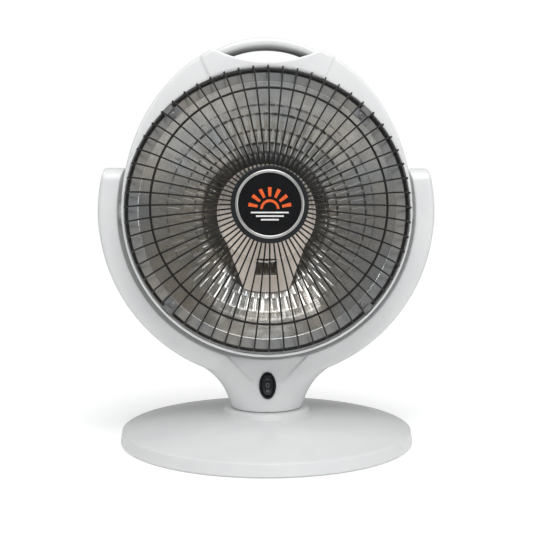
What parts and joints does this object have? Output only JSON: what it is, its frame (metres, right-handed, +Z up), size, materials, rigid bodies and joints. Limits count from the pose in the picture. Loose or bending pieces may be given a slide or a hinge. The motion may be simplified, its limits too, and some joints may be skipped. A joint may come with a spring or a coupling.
{
  "type": "parabolic heater",
  "caption": "Table-top parabolic electric heater: polished dish behind a round wire guard, carrying handle, head tilting in a yoke on a weighted round base, rocker switch in the neck.",
  "frame": {"origin": "centre of the base on the floor", "axes": "+Z up, the heater faces -Y, +X to the right seen from the front"},
  "size_m": [0.3658, 0.322, 0.4437],
  "materials": {
    "white_plastic": "glossy moulded ABS",
    "black_plastic": "satin moulded plastic",
    "zinc_steel": "zinc-plated steel",
    "cast_iron": "bare casting",
    "nylon": "natural nylon",
    "polished_aluminium": "polished and embossed sheet",
    "guard_wire": "black powder coat on steel wire",
    "silver_trim": "satin silver trim",
    "cream_enamel": "pale heat-resistant coating on steel sheet",
    "ceramic": "unglazed",
    "resistance_wire": "oxidised resistance wire",
    "rubber": "black rubber"
  },
  "bodies": {
    "stand": {"base_cover": "white_plastic", "base_plate": "zinc_steel", "counterweight": "cast_iron", "foot_1": "rubber", "foot_2": "rubber", "foot_3": "rubber", "foot_4": "rubber", "base_screw_1": "zinc_steel", "base_screw_2": "zinc_steel", "base_screw_3": "zinc_steel", "base_screw_4": "zinc_steel", "cord_gland": "black_plastic", "neck_clamp": "zinc_steel", "neck_bolt_1": "zinc_steel", "neck_bolt_2": "zinc_steel", "tip_switch_body": "black_plastic", "terminal_block": "nylon", "yoke_front": "white_plastic", "yoke_back": "white_plastic", "yoke_screw_1": "zinc_steel", "yoke_screw_2": "zinc_steel", "yoke_screw_3": "zinc_steel", "yoke_screw_4": "zinc_steel", "switch_frame": "black_plastic", "switch_body": "black_plastic", "pivot_bush_right": "white_plastic", "pivot_bush_left": "white_plastic"},
    "head": {"front_housing": "white_plastic", "rear_housing": "black_plastic", "guard_hub": "black_plastic", "hub_clamp": "black_plastic", "badge_face": "black_plastic", "thermal_cutout": "black_plastic", "trunnion_right": "zinc_steel", "trunnion_left": "zinc_steel", "pivot_washer_right": "zinc_steel", "pivot_washer_left": "zinc_steel", "pivot_nut_right": "zinc_steel", "pivot_nut_left": "zinc_steel", "guard_clip_1": "zinc_steel", "guard_clip_2": "zinc_steel", "guard_clip_3": "zinc_steel", "guard_clip_4": "zinc_steel", "clip_screw_1": "zinc_steel", "clip_screw_2": "zinc_steel", "clip_screw_3": "zinc_steel", "clip_screw_4": "zinc_steel", "rear_screw_1": "zinc_steel", "rear_screw_2": "zinc_steel", "rear_screw_3": "zinc_steel", "rear_screw_4": "zinc_steel", "reflector": "polished_aluminium", "wire_guard": "guard_wire", "badge_ring": "silver_trim", "element_shield": "cream_enamel", "element_core": "ceramic", "element_socket": "ceramic", "element_coil": "resistance_wire"},
    "rocker": {"switch_rocker": "black_plastic"},
    "tip_plunger": {"tip_switch_plunger": "nylon"}
  },
  "joints": [
    {"name": "head_tilt", "type": "hinge", "parent": "stand", "child": "head", "pos_m": [0, 0, 0.25074], "axis": [-1, 0, 0], "range_deg": [-15, 25]},
    {"name": "rocker_tilt", "type": "hinge", "parent": "stand", "child": "rocker", "pos_m": [0, -0.02669, 0.06296], "axis": [1, 0, 0], "range_deg": [-9, 9]},
    {"name": "plunger_slide", "type": "slide", "parent": "stand", "child": "tip_plunger", "axis": [0, 0, -1], "range_m": [0, 0.005], "stiffness_N_per_m": 150, "springref_m": 0.008}
  ]
}
